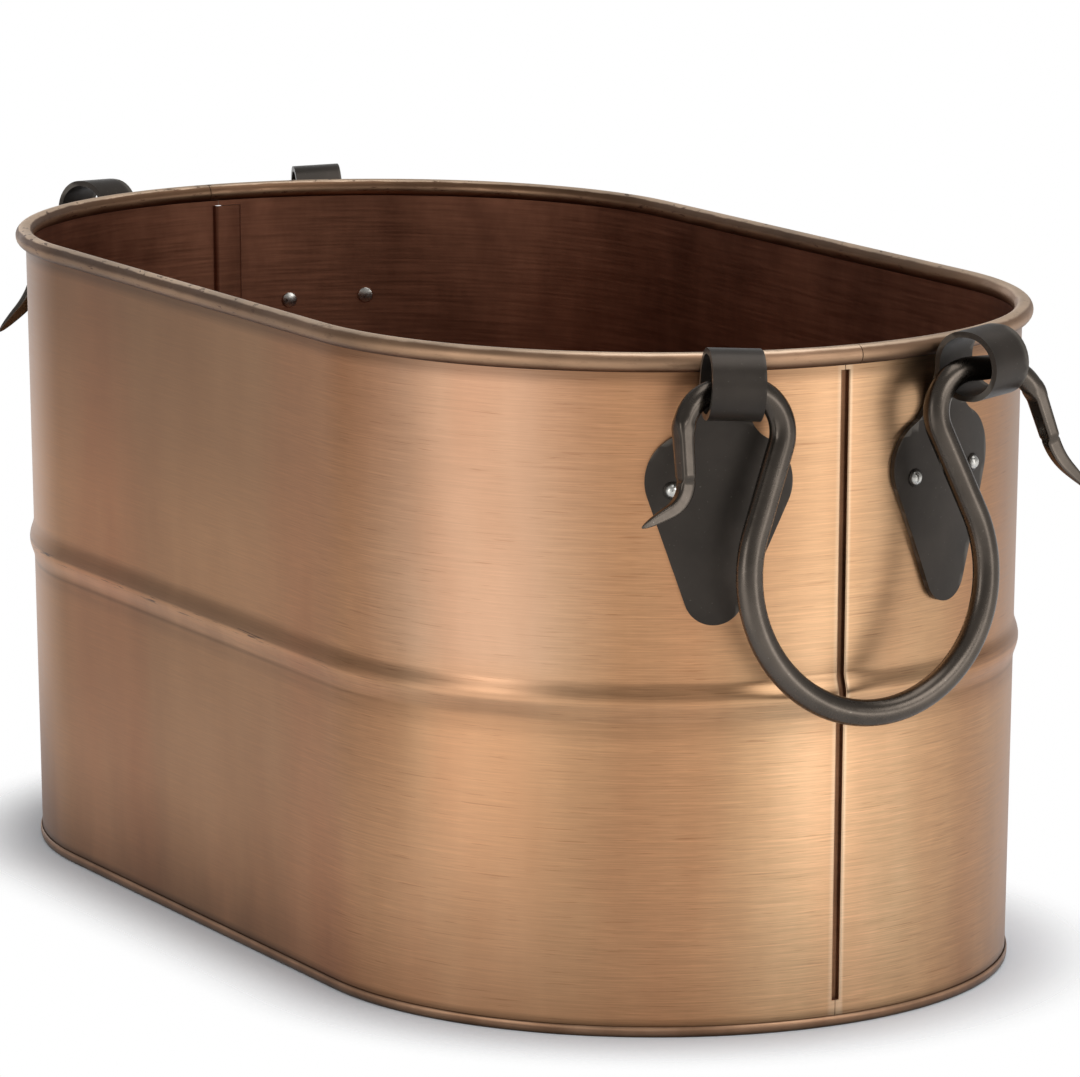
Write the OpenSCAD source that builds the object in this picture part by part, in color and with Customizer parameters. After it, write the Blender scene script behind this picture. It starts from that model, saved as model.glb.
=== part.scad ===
// Oval log bucket: two copper half sheets lock-seamed at the ends, a wired rim, a recessed
// base pan, and a forged ring handle at each end that swings in two riveted iron ears.
// The origin is on the floor at the middle of the base, +X runs to the near end, +Z up.

/* [Body] */
// Length of the body, over the wall just under the rim
body_len = 568; // [480:1:640]
// Width of the body, over the wall just under the rim
body_w = 309; // [270:1:340]
// Height of the bucket, to the top of the rolled rim
body_h = 280; // [264:1:330]
// How far each side draws in from the rim to the base
body_taper = 4; // [1:0.5:8]
// Thickness of the copper sheet
sheet_t = 0.8; // [0.6:0.05:1]

/* [Rolled rim] */
// Outer diameter of the rolled rim
rim_d = 8; // [6.5:0.5:9]
// How far the middle of the roll lies outside the wall's outer face
rim_out = 0.6; // [0.4:0.1:1.2]
// Angle round the roll of the slot left by the sheet's free edge
rim_slot = 26; // [16:1:34]
// Distance of the joint in the roll from the middle of the end
rim_joint = 5.5; // [4:0.5:8]

/* [Swage] */
// Height of the middle of the rolled swage above the floor
swage_z = 138; // [60:1:140]
// Height of the swage band
swage_h = 18; // [12:1:22]
// How far the swage stands out of the wall
swage_out = 2; // [1:0.1:2.4]

/* [Base pan] */
// Height of the folded lip that shows round the foot of the wall
lip_h = 4.5; // [3:0.5:6]
// Height of the floor's underside above the ground
floor_lift = 6; // [4:0.5:10]

/* [End seam] */
// Width of the dark groove beside the seam's hemmed edge
groove_w = 3; // [2:0.25:4]
// Width of the interlocked folds behind the seam
seam_lap = 9.4; // [7:0.2:12]
// Distance of the hemmed edge from the middle of the end
hem_at = 0.8; // [0.4:0.1:1.5]
// How far the folds stop short of the rolled rim
seam_short = 2; // [1.5:0.5:6]
// How far the folds stop short of the floor
seam_clear = 3.9; // [0.8:0.1:5]

/* [Ears] */
// Angle of each ear from the middle of the end
ear_angle = 20.5; // [19.5:0.1:21.5]
// Angle at which each ear leans towards the middle of the end, about the round of its tip
ear_lean = 2.5; // [0:0.1:3]
// Thickness of the iron strap
ear_t = 2.4; // [2:0.1:3]
// Width of the leaf at its widest
leaf_w = 59; // [54:1:66]
// Distance from the top of the rim down to the leaf's widest place
leaf_wide_drop = 52; // [50:1:56]
// Distance from the top of the rim down to the leaf's tip
leaf_tip_drop = 110; // [96:1:112]
// Radius of the leaf's shoulders
shoulder_r = 20; // [17:0.5:22]
// Radius of the leaf's tip
tip_r = 12; // [9:0.5:14]
// Radius of the hollow curves between the shoulders and the neck
neck_curve_r = 14; // [10:0.5:16]
// Width of the neck and of the rolled eye
neck_w = 21.5; // [18:0.5:24]
// Height of the hole in the eye
eye_hole_h = 23.6; // [23.2:0.1:24.4]
// Depth of the hole in the eye, from front to back
eye_hole_d = 26; // [25:0.5:27]
// Distance from the top of the rim down to the middle of the eye
eye_drop = 9.9; // [9:0.1:11]
// Gap between the eye and the rolled rim
eye_rim_gap = 0.7; // [0.4:0.1:1.5]
// Height over which the neck leans out past the rim
neck_rise = 21; // [20:0.5:22]
// Angle left open round the eye between the end of the strap and the neck
eye_open = 40; // [34:1:46]

/* [Rivets] */
// Diameter of the rivet shank
rivet_d = 4.5; // [3.5:0.1:5]
// Diameter of the domed head
rivet_head_d = 7.5; // [6.5:0.1:8.5]
// Height of the domed head
rivet_head_h = 2.5; // [1.8:0.1:3]
// Diameter of the flattened head inside the bucket
rivet_tail_d = 7; // [6.5:0.1:8]
// Height of the flattened head inside the bucket
rivet_tail_h = 1.2; // [1:0.1:1.6]
// Distance between the two rivets of an ear, along the wall
rivet_pitch = 37; // [34:1:42]
// Distance from the top of the rim down to the rivets
rivet_drop = 56; // [54:1:60]

/* [Handles] */
// Diameter of the round bar
bar_d = 10.8; // [9:0.1:11]
// Diameter that the bar is drawn down to where it passes through the eyes
eye_bar_d = 10; // [8.5:0.1:10.5]
// Width of the ring handle between the middles of the bar
handle_w = 110; // [104:1:116]
// Depth of the handle from its hinge line to the middle of the bar below
handle_drop = 133; // [128:1:140]
// Straight length of the bar where it crosses over from the ring to the eye
cross_run = 36; // [33:0.1:38]
// Angle at which the handle stands off the wall when it hangs
handle_tilt = 7.3; // [6:0.1:10]
// Distance of the hinge line inwards from the middle of the eyes
hinge_in = 1; // [0.5:0.1:1.5]
// Distance from the top of the rim down to the hinge line
hinge_drop = 12.3; // [12:0.1:12.5]
// Straight length of the bar in the eye, from its middle to the arch
arch_run = 4.5; // [3:0.25:5]
// Straight length of the bar in the eye, from its middle to the tail
tail_run = 7; // [6:0.25:7.5]
// Length of bar in the bend where each tail turns down
tail_bend = 26; // [25:0.5:28]
// Angle by which the front tail turns down
tail_turn = 90; // [84:1:94]
// Angle by which the back tail splays out from that
tail_splay = 17; // [0:1:20]
// Straight length of each tail below that bend
tail_down = 17; // [10:0.5:20]
// Length of bar in each tail's last bend
flick_bend = 15; // [12:0.5:18]
// Angle of the front tail's last bend
flick_front = 68; // [50:1:80]
// Angle of the back tail's last bend
flick_back = 29; // [20:1:60]
// Length of the pointed end after the last bend
flick_len = 14; // [8:0.5:18]
// Share by which the tail thins before it comes to its point
tail_thin = 0.3; // [0.1:0.05:0.4]
// Share by which the squared tail is hammered thinner across than it is deep
tail_flat = 0.35; // [0:0.05:0.45]
// Share of the tail's length at which it begins to be hammered square
square_from = 0.35; // [0.25:0.05:0.5]
// Share of the tail's length at which it begins to come to its point
point_from = 0.72; // [0.6:0.02:0.8]

/* [Fits] */
// Clearance between sheets that are folded over each other
fold_gap = 0.15; // [0.1:0.01:0.2]
// Clearance under a seated ear, and round the rim wire
seat_gap = 0.12; // [0.1:0.01:0.2]
// Radial clearance of a rivet in its hole, and under its heads
rivet_gap = 0.1; // [0.08:0.01:0.15]

/* [Hidden] */
$fn = 96;
pi = 3.14159265;
copper = [0.72, 0.46, 0.30];
copper_pan = [0.60, 0.38, 0.25];
iron = [0.20, 0.18, 0.17];
iron_bar = [0.24, 0.22, 0.21];
steel = [0.62, 0.60, 0.57];
// Plan: two half rounds of end_r joined by straight sides
end_r = body_w / 2;
end_x = body_len / 2 - end_r;
// Heights of the wall: it stands in the pan's fold and ends under the roll
wall_top = body_h - rim_d;
wall_foot = sheet_t + fold_gap;
roll_z = body_h - rim_d / 2;
roll_r = rim_d / 2;
roll_x = end_r + rim_out;
swage_steps = 12;
// One layer of the lock seam to the next
layer = sheet_t + fold_gap;
floor_top = floor_lift + sheet_t;
seam_foot = floor_top + seam_clear;
seam_top = wall_top - seam_short;
hook_back = -hem_at - seam_lap;
groove_edge = groove_w - hem_at;
// Ear and eye
eye_z = body_h - eye_drop;
eye_r = eye_hole_h / 2;
eye_half = (eye_hole_d - eye_hole_h) / 2;
eye_out = rim_out + roll_r + eye_rim_gap + ear_t + eye_r + eye_half;
eye_x = end_r + eye_out;
leaf_z = body_h - leaf_wide_drop;
leaf_foot = body_h - leaf_tip_drop;
neck_foot = eye_z - neck_rise;
rivet_z = body_h - rivet_drop;
lean_z = leaf_foot + tip_r;
// Handle: the hinge line runs along Y through the middles of both leaning eyes
eye_shift = (eye_z - lean_z) * sin(ear_lean);
hinge_x = end_x + (eye_x - hinge_in) * cos(ear_angle) + eye_shift * sin(ear_angle);
hinge_y = (eye_x - hinge_in) * sin(ear_angle) - eye_shift * cos(ear_angle);
arch_y = hinge_y - arch_run;
hinge_z = body_h - hinge_drop;
ring_r = handle_w / 2;
ring_y = ring_r - handle_drop;
bar_r = bar_d / 2;
// Radius of the arch that meets the ring with the straight crossing between them
arch_r = (arch_y * arch_y + ring_y * ring_y - ring_r * ring_r - cross_run * cross_run) / 2 / handle_drop;
reach = norm([arch_y, ring_y + arch_r]);
cross_angle = atan2(-arch_r - ring_y, arch_y) - acos((ring_r + arch_r) / reach);
tail_len = tail_run + tail_bend + tail_down + flick_bend + flick_len;
ring_arc = ring_r * (90 + cross_angle) * pi / 180;
arch_arc = arch_r * (90 + cross_angle) * pi / 180;
arch_top = ring_arc + cross_run + arch_arc;
eye_mid = arch_top + arch_run;
bar_sides = 16;
// Section of the tail: power of its squarest outline, and the share of the tail in which it squares
square_power = 5;
square_over = 0.15;
// Taper into the point: its curve, and the square of the share of the thickness left at the tip
point_curve = 1.6;
point_blunt = 0.02;

// Angle at the end round that matches a length along the wall
function turn(s) = s / end_r * 180 / pi;

// Outer face of the wall at a height: straight taper with the swage standing out of it
function wall_r(z) = end_r - body_taper * (1 - z / wall_top) + swage(z);
function swage(z) = abs(z - swage_z) > swage_h / 2 ? 0
    : swage_out * (1 + cos(360 * (z - swage_z) / swage_h)) / 2;

// Heights at which the wall's outline needs a point between z0 and z1
function wall_zs(z0, z1) = concat(
    [z0],
    [for (i = [0:swage_steps]) let (z = swage_z + swage_h * (i / swage_steps - 0.5)) if (z > z0 && z < z1) z],
    [z1]
);

// Points of an arc about c, from angle a0 to a1
function arc(c, r, a0, a1, steps = 12) = [for (i = [0:steps]) let (a = a0 + (a1 - a0) * i / steps)
    [c.x + r * cos(a), c.y + r * sin(a)]];

// Section of a layer of sheet that follows the wall, between two distances from its outer face
module wall_layer(outer, inner, z0, z1) {
    zs = wall_zs(z0, z1);
    n = len(zs) - 1;
    polygon(concat(
        [for (z = zs) [wall_r(z) + outer, z]],
        [for (i = [n:-1:0]) [wall_r(zs[i]) + inner, zs[i]]]
    ));
}

// Section swept round a near-end sector, from angle a0 to a1
module near_sector(a0, a1) {
    translate([end_x, 0, 0]) rotate([0, 0, a0]) rotate_extrude(angle = a1 - a0) children();
}

// Section swept along the front half of the body, from the near end's middle to the far end's,
// ending at angle near_end there and starting at angle far_end here
module front_sweep(near_end, far_end) {
    near_sector(-90, near_end) children();
    translate([end_x, 0, 0]) rotate([90, 0, -90]) linear_extrude(2 * end_x) children();
    mirror([1, 0, 0]) near_sector(-90, -far_end) children();
}

// Section swept all the way round
module full_sweep() {
    for (turned = [0, 180]) rotate([0, 0, turned]) {
        near_sector(-90, 90) children();
        translate([end_x, 0, 0]) rotate([90, 0, -90]) linear_extrude(2 * end_x) children();
    }
}

// Section of the rim: the sheet rolled round the wire, open where its free edge comes home
module roll_section() {
    translate([roll_x, roll_z]) difference() {
        circle(roll_r);
        circle(roll_r - sheet_t);
        slot_from = -98;
        polygon([
            [0, 0],
            2 * roll_r * [cos(slot_from), sin(slot_from)],
            2 * roll_r * [cos(slot_from + rim_slot), sin(slot_from + rim_slot)]
        ]);
    }
}

// Hemmed edge of the front sheet: it folds back behind itself and holds the other sheet's hook
module hem_edge() {
    bite = sheet_t / 2;
    near_sector(turn(-hem_at - sheet_t), turn(-hem_at - fold_gap / 3))
        wall_layer(-bite, -2 * layer - bite, seam_foot, seam_top);
    near_sector(turn(hook_back + sheet_t + 3 * fold_gap), turn(-hem_at - bite))
        wall_layer(-2 * layer, -2 * layer - sheet_t, seam_foot, seam_top);
}

// Hooked edge of the back sheet: it steps in at the groove, runs behind the hem and folds into it
module hook_edge() {
    bite = sheet_t / 2;
    step_at = groove_edge + fold_gap;
    near_sector(turn(step_at), turn(step_at + sheet_t))
        wall_layer(-bite, -3 * layer - bite, seam_foot, seam_top);
    near_sector(turn(hook_back), turn(step_at + bite))
        wall_layer(-3 * layer, -3 * layer - sheet_t, seam_foot, seam_top);
    near_sector(turn(hook_back), turn(hook_back + sheet_t))
        wall_layer(-layer - bite, -3 * layer - bite, seam_foot, seam_top);
    near_sector(turn(hook_back), turn(-hem_at - sheet_t - 2 * fold_gap))
        wall_layer(-layer, -layer - sheet_t, seam_foot, seam_top);
}

// Wedge at the near end that cuts a sheet away from angle a0 to a1
module near_wedge(a0, a1, z0, z1) {
    far_r = 2 * end_r;
    translate([end_x, 0, z0]) linear_extrude(z1 - z0)
        polygon([[0, 0], far_r * [cos(a0), sin(a0)], far_r * [cos(a1), sin(a1)]]);
}

// Place of the rivet on one side of the ear at an angle: its angle from the middle, and its height
function rivet_at(angle, side) = let (
    lean = sign(angle) * ear_lean, along = side * rivet_pitch / 2, up = rivet_z - lean_z
) [angle + turn(along * cos(lean) - up * sin(lean)), lean_z + along * sin(lean) + up * cos(lean)];

// Holes for the two rivets of the ear at an angle from the middle of the near end
module rivet_holes(angle) {
    past = body_taper + 2 * ear_t;
    for (side = [-1, 1]) let (at = rivet_at(angle, side))
        translate([end_x, 0, 0]) rotate([0, 0, at.x])
            translate([end_r - past, 0, at.y]) rotate([0, 90, 0])
                cylinder(h = 2 * past, d = rivet_d + 2 * rivet_gap);
}

// Wall of one sheet, cut away at the far end for the groove and under the other sheet's roll
module sheet_wall() {
    cut_from = turn(-hem_at) - 1;
    difference() {
        front_sweep(turn(-hem_at), turn(-hem_at + fold_gap))
            wall_layer(0, -sheet_t, wall_foot, wall_top + sheet_t);
        rotate([0, 0, 180]) {
            near_wedge(cut_from, turn(groove_edge), seam_foot, body_h);
            near_wedge(cut_from, turn(rim_joint + 2 * fold_gap), wall_top - fold_gap, body_h);
        }
    }
}

// Half of the body: one sheet from the hem at the near end, round to the hook at the far end
module body_sheet() {
    difference() {
        union() {
            sheet_wall();
            front_sweep(turn(rim_joint), turn(rim_joint + fold_gap)) roll_section();
            hem_edge();
            rotate([0, 0, 180]) hook_edge();
        }
        rivet_holes(-ear_angle);
        rotate([0, 0, 180]) rivet_holes(ear_angle);
    }
}

module body_sheet_front() {
    color(copper) body_sheet();
}

module body_sheet_back() {
    color(copper) rotate([0, 0, 180]) body_sheet();
}

// Steel wire inside the rolled rim, one closed loop
module rim_wire() {
    color(steel) full_sweep()
        translate([roll_x, roll_z]) circle(roll_r - sheet_t - seat_gap);
}

// Section of the pan's edge: a fold that the foot of the wall stands in
module pan_fold() {
    foot_r = wall_r(0);
    out = foot_r + fold_gap + sheet_t;
    in = foot_r - 2 * sheet_t - fold_gap;
    round_r = sheet_t;
    difference() {
        union() {
            translate([in, round_r]) square([out - in, floor_top - round_r]);
            translate([in + round_r, 0]) square([out - in - 2 * round_r, round_r]);
            for (x = [in + round_r, out - round_r]) translate([x, round_r]) circle(round_r);
        }
        translate([in + sheet_t, sheet_t]) square([sheet_t + 2 * fold_gap, floor_top]);
        translate([foot_r, lip_h]) square([2 * out, floor_top]);
    }
}

// Base pan: a floor held above the ground by the folded edge that it stands on
module base_pan() {
    floor_r = wall_r(0) - sheet_t - fold_gap - sheet_t / 2;
    color(copper_pan) union() {
        full_sweep() pan_fold();
        translate([0, 0, floor_lift]) linear_extrude(sheet_t) {
            for (x = [-end_x, end_x]) translate([x, 0]) circle(floor_r);
            square([2 * end_x, 2 * floor_r], center = true);
        }
    }
}

// Outline of the leaf: round tip, straight flanks, round shoulders, hollow curves into the neck
module leaf_outline() {
    tip = [0, leaf_foot + tip_r];
    shoulder = [leaf_w / 2 - shoulder_r, leaf_z];
    gap = shoulder - tip;
    flank = atan2(gap.y, gap.x) - acos((tip_r - shoulder_r) / norm(gap));
    hollow_x = neck_w / 2 + neck_curve_r;
    hollow = [hollow_x, leaf_z + sqrt(pow(shoulder_r + neck_curve_r, 2) - pow(hollow_x - shoulder.x, 2))];
    meet = atan2(hollow.y - shoulder.y, hollow.x - shoulder.x);
    half = concat(
        arc(tip, tip_r, -90, flank),
        arc(shoulder, shoulder_r, flank, meet),
        arc(hollow, neck_curve_r, meet + 180, 180),
        [[neck_w / 2, max(hollow.y, neck_foot) + 1]]
    );
    polygon(concat(half, [for (i = [len(half) - 1:-1:1]) [-half[i].x, half[i].y]]));
}

// Side view of the strap above the leaf: it leans out past the rim and rolls into the eye
module eye_section() {
    start_x = wall_r(neck_foot) + seat_gap;
    end_at = eye_x - eye_half - eye_r - ear_t;
    steps = 10;
    lean = [for (i = [0:steps]) [
        start_x + (end_at - start_x) * (1 - cos(180 * i / steps)) / 2,
        neck_foot + (eye_z - neck_foot) * i / steps
    ]];
    polygon(concat(
        lean,
        [[end_at + 0.1, eye_z + 1], [end_at + ear_t - 0.1, eye_z + 1]],
        [for (i = [steps:-1:0]) [lean[i].x + ear_t, lean[i].y]]
    ));
    translate([eye_x, eye_z]) difference() {
        union() {
            for (x = [-eye_half, eye_half]) translate([x, 0]) circle(eye_r + ear_t);
            square([2 * eye_half, 2 * (eye_r + ear_t)], center = true);
        }
        for (x = [-eye_half, eye_half]) translate([x, 0]) circle(eye_r);
        square([2 * eye_half, 2 * eye_r], center = true);
        polygon([
            [0, 0],
            2 * eye_x * [-1, 0],
            -2 * eye_x * [cos(eye_open), sin(eye_open)]
        ]);
    }
}

// What an ear holds, leaning about the round of its tip towards the middle of the end
module leaning(angle) {
    translate([0, 0, lean_z]) rotate([sign(angle) * ear_lean, 0, 0]) translate([0, 0, -lean_z]) children();
}

// Ear at an angle from the middle of the near end: leaf, neck and eye in one strap
module ear(angle) {
    leaf_turn = turn(0.7 * leaf_w);
    color(iron) difference() {
        translate([end_x, 0, 0]) rotate([0, 0, angle]) union() {
            intersection() {
                rotate([0, 0, -leaf_turn]) rotate_extrude(angle = 2 * leaf_turn)
                    wall_layer(seat_gap + ear_t, seat_gap, leaf_foot - ear_t, body_h);
                leaning(angle) translate([end_r - leaf_w / 2, 0, 0]) rotate([90, 0, 90])
                    linear_extrude(leaf_w) leaf_outline();
            }
            leaning(angle) rotate([90, 0, 0]) linear_extrude(neck_w, center = true) eye_section();
        }
        rivet_holes(angle);
    }
}

module ear_near_front() {
    ear(-ear_angle);
}

module ear_near_back() {
    ear(ear_angle);
}

module ear_far_front() {
    rotate([0, 0, 180]) ear(ear_angle);
}

module ear_far_back() {
    rotate([0, 0, 180]) ear(-ear_angle);
}

// Rivet of the ear at an angle, on one side of it: domed head outside, shank, flattened head inside
module rivet(angle, side) {
    at = rivet_at(angle, side);
    seat = seat_gap + ear_t + rivet_gap;
    back = -sheet_t - rivet_gap;
    dome_r = (pow(rivet_head_d / 2, 2) + pow(rivet_head_h, 2)) / 2 / rivet_head_h;
    color(steel) translate([end_x, 0, 0]) rotate([0, 0, at.x]) translate([wall_r(at.y), 0, at.y])
        rotate([0, 90, 0]) union() {
            translate([0, 0, back - rivet_tail_h]) cylinder(h = rivet_tail_h, d = rivet_tail_d);
            translate([0, 0, back - rivet_tail_h / 2])
                cylinder(h = seat - back + rivet_tail_h, d = rivet_d);
            translate([0, 0, seat]) rotate_extrude() intersection() {
                translate([0, rivet_head_h - dome_r]) circle(dome_r);
                square([rivet_head_d, rivet_head_h]);
            }
        }
}

// Place along the bar at a distance from the bottom of the ring: across, up, and heading.
// The ring bends up and in, crosses straight over, and the arch carries it down into the tail.
function bar_at(s) =
    s < 0 ? let (p = half_at(-s, tail_turn, flick_front)) [-p.x, p.y, -p.z]
    : half_at(s, tail_turn - tail_splay, flick_back);

// Place along the back half, whose tail turns down and flicks out by the angles given
function half_at(s, down, flick) =
    s < ring_arc ? let (a = s / ring_r * 180 / pi) [ring_r * sin(a), ring_y - ring_r * cos(a), a]
    : s < ring_arc + cross_run ? let (a = 90 + cross_angle, d = s - ring_arc)
        [ring_r * sin(a) + d * cos(a), ring_y - ring_r * cos(a) + d * sin(a), a]
    : s < arch_top ? let (a = (arch_top - s) / arch_r * 180 / pi)
        [arch_y - arch_r * sin(a), -arch_r + arch_r * cos(a), a]
    : s < eye_mid ? [arch_y + s - arch_top, 0, 0]
    : tail_at(s - eye_mid, down, flick);

// Place along a tail at a distance from the middle of the eye
function tail_at(s, down, flick) = let (
    bend_r = tail_bend / down * 180 / pi,
    flick_r = flick_bend / flick * 180 / pi,
    foot = [hinge_y + tail_run, -bend_r] + bend_r * [sin(down), cos(down)],
    about = foot + tail_down * [cos(down), -sin(down)] + flick_r * [sin(down), cos(down)]
) s < tail_run ? [hinge_y + s, 0, 0]
    : s < tail_run + tail_bend ? let (a = down * (s - tail_run) / tail_bend)
        [hinge_y + tail_run + bend_r * sin(a), -bend_r + bend_r * cos(a), -a]
    : s < tail_run + tail_bend + tail_down ? let (d = s - tail_run - tail_bend)
        [foot.x + d * cos(down), foot.y - d * sin(down), -down]
    : s < tail_len - flick_len ? let (a = flick * (s - tail_run - tail_bend - tail_down) / flick_bend - down)
        [about.x + flick_r * sin(a), about.y - flick_r * cos(a), a]
    : let (a = flick - down, d = s - tail_len + flick_len)
        [about.x + flick_r * sin(a) + d * cos(a), about.y - flick_r * cos(a) + d * sin(a), a];

// Share of the tail's length that a place on the bar has reached, 0 on the ring and the arch
function tail_share(s) = max(0, (abs(s) - eye_mid) / tail_len);

// Share of the drawing down that the bar has reached, 0 on the ring and 1 in the eye
function arch_share(s) = min(1, max(0, (abs(s) - arch_top + arch_arc) / arch_arc));

// Half thickness of the bar: round stock on the ring, thinner in the eye, then down to a point
function bar_half(s) = let (f = tail_share(s))
    (bar_r + (eye_bar_d / 2 - bar_r) * arch_share(s)) * (1 - tail_thin * f) * point(f);

// Share of the thickness left on the way to the point, which ends blunt
function point(f) = f < point_from ? 1
    : sqrt(max(point_blunt, 1 - pow((f - point_from) / (1 - point_from), point_curve)));

// Ring of points round the bar: a round section that is hammered square along the tail
function bar_ring(s) = let (
    p = bar_at(s),
    half = bar_half(s),
    squared = min(1, max(0, (tail_share(s) - square_from) / square_over)),
    power = 2 + (square_power - 2) * squared
) [for (i = [0:bar_sides - 1]) let (
    a = 360 * (i + 0.5) / bar_sides,
    across = half * (1 - tail_flat * squared) * sign(cos(a)) * pow(abs(cos(a)), 2 / power),
    out = half * sign(sin(a)) * pow(abs(sin(a)), 2 / power)
) [p.x - across * sin(p.z), p.y + across * cos(p.z), out]];

// Distances along half the bar at which it has a ring of points
function stations(from, length, steps) = [for (i = [1:steps]) from + length * i / steps];
half_stations = concat(
    stations(0, ring_arc, 22),
    stations(ring_arc, cross_run, 1),
    stations(ring_arc + cross_run, arch_arc, 10),
    stations(arch_top, arch_run, 1),
    stations(eye_mid, tail_run, 1),
    stations(eye_mid + tail_run, tail_bend, 8),
    stations(eye_mid + tail_run + tail_bend, tail_down, 4),
    stations(eye_mid + tail_run + tail_bend + tail_down, flick_bend, 6),
    stations(eye_mid + tail_len - flick_len, flick_len, 5)
);

// Ring handle lying in its own plane with the hinge line along X, forged from one bar
module handle_flat() {
    last = len(half_stations) - 1;
    rings = [for (s = concat([for (i = [last:-1:0]) -half_stations[i]], [0], half_stations)) bar_ring(s)];
    n = bar_sides;
    top = len(rings) - 1;
    polyhedron(
        points = [for (r = rings, p = r) p],
        faces = concat(
            [[for (i = [n - 1:-1:0]) i]],
            [for (k = [0:top - 1], i = [0:n - 1]) let (j = (i + 1) % n)
                each [[k * n + i, k * n + j, (k + 1) * n + i], [k * n + j, (k + 1) * n + j, (k + 1) * n + i]]],
            [[for (i = [0:n - 1]) top * n + i]]
        )
    );
}

// Handle of the near end as it hangs in its ears
module handle() {
    color(iron_bar) translate([hinge_x, 0, hinge_z]) rotate([0, -handle_tilt, 0]) rotate([90, 0, 90])
        handle_flat();
}

module handle_near() {
    handle();
}

module handle_far() {
    rotate([0, 0, 180]) handle();
}

module rivet_near_front_inner() {
    rivet(-ear_angle, 1);
}

module rivet_near_front_outer() {
    rivet(-ear_angle, -1);
}

module rivet_near_back_inner() {
    rivet(ear_angle, -1);
}

module rivet_near_back_outer() {
    rivet(ear_angle, 1);
}

module rivet_far_front_inner() {
    rotate([0, 0, 180]) rivet(ear_angle, -1);
}

module rivet_far_front_outer() {
    rotate([0, 0, 180]) rivet(ear_angle, 1);
}

module rivet_far_back_inner() {
    rotate([0, 0, 180]) rivet(-ear_angle, 1);
}

module rivet_far_back_outer() {
    rotate([0, 0, 180]) rivet(-ear_angle, -1);
}

body_sheet_front();
body_sheet_back();
rim_wire();
base_pan();
ear_near_front();
ear_near_back();
ear_far_front();
ear_far_back();
handle_near();
handle_far();
rivet_near_front_inner();
rivet_near_front_outer();
rivet_near_back_inner();
rivet_near_back_outer();
rivet_far_front_inner();
rivet_far_front_outer();
rivet_far_back_inner();
rivet_far_back_outer();
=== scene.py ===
import math

import bmesh
import bpy
from mathutils import Matrix, Vector


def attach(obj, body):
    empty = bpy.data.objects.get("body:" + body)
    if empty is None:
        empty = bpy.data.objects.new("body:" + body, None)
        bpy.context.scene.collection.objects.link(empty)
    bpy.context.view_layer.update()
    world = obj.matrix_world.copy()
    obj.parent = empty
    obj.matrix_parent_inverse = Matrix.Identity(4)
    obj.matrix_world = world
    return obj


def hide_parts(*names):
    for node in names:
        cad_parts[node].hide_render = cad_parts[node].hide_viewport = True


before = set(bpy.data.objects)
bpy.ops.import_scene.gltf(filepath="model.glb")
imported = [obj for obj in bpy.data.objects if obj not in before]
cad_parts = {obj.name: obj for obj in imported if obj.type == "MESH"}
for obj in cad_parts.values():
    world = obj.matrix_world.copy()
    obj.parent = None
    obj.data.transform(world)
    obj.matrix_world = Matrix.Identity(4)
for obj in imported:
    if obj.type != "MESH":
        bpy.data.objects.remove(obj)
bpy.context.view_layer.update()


# The wall is two copper half sheets, each rolled to half of the oval, locked to the other
# sheet by a folded seam at each end and rolled round a wire at the top. Each sheet has a
# hemmed edge at one end and the hooked edge that goes behind the other's hem at its far end.
sheet_t = 0.8  # lengths are in millimetres until a mesh is placed
sheet_edge = 0.15
end_r = 154.5
end_x = 129.5
wall_foot = 0.95
wall_top = 272.4
wall_taper = 4.0
rim_z = 272.0
seam_foot = 10.7
seam_top = 270.0
seam_half = 12.0
groove_depth = 0.5
hem_r = 0.85
hook_r = 0.55
bend_steps = 7
swage_z = 138.0
swage_h = 18.0
swage_out = 2.0
swage_rows = 24
roll_r = 4.0
roll_z = 276.0
roll_out = 0.6
roll_start, roll_turn, roll_steps = -72, 334, 40
rim_joint = 5.5
rim_gap = 0.35
sweep_step = 2.5  # degrees
side_steps = 10


def wall_r(z):
    """Distance of the wall's outer face from the end's centre, with its slight taper and swage."""
    swell = 0
    if abs(z - swage_z) < swage_h / 2:
        swell = swage_out * (1 + math.cos(math.tau * (z - swage_z) / swage_h)) / 2
    return end_r - wall_taper * (1 - z / rim_z) + swell


def draw_out(bm, edges, matrix):
    """Draws a row of edges out to where the matrix carries it, and gives the new row."""
    made = bmesh.ops.extrude_edge_only(bm, edges=edges)["geom"]
    verts = [g for g in made if isinstance(g, bmesh.types.BMVert)]
    bmesh.ops.transform(bm, matrix=matrix, verts=verts)
    return [g for g in made if isinstance(g, bmesh.types.BMEdge)]


def fold(bm, edges, x, angle, path):
    """Folds a row of edges along a path of (distance round the end, depth behind the face)."""
    about = Matrix.Translation((x, 0, 0))
    at, deep = path[0]
    for to, depth in path[1:]:
        turn = (to - at) / end_r
        angle += turn
        step = Vector((math.cos(angle), math.sin(angle), 0)) * (depth - deep)
        spun = about @ Matrix.Rotation(turn, 4, "Z") @ about.inverted()
        edges = draw_out(bm, edges, Matrix.Translation(step) @ spun)
        at, deep = to, depth
    return edges


def bend(centre, radius, start, stop):
    """Points of a small bend in the sheet, seen from above, with angles in degrees."""
    turns = [math.radians(start + (stop - start) * i / bend_steps) for i in range(bend_steps + 1)]
    return [(centre[0] + radius * math.cos(a), centre[1] + radius * math.sin(a)) for a in turns]


def spin_on(bm, edges, x, angle):
    """Spins a row of edges round an end's centre, and gives the last row."""
    steps = max(2, round(abs(math.degrees(angle)) / sweep_step))
    spun = bmesh.ops.spin(bm, geom=edges, cent=(x, 0, 0), axis=(0, 0, 1), angle=angle, steps=steps)
    return [g for g in spun["geom_last"] if isinstance(g, bmesh.types.BMEdge)]


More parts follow.
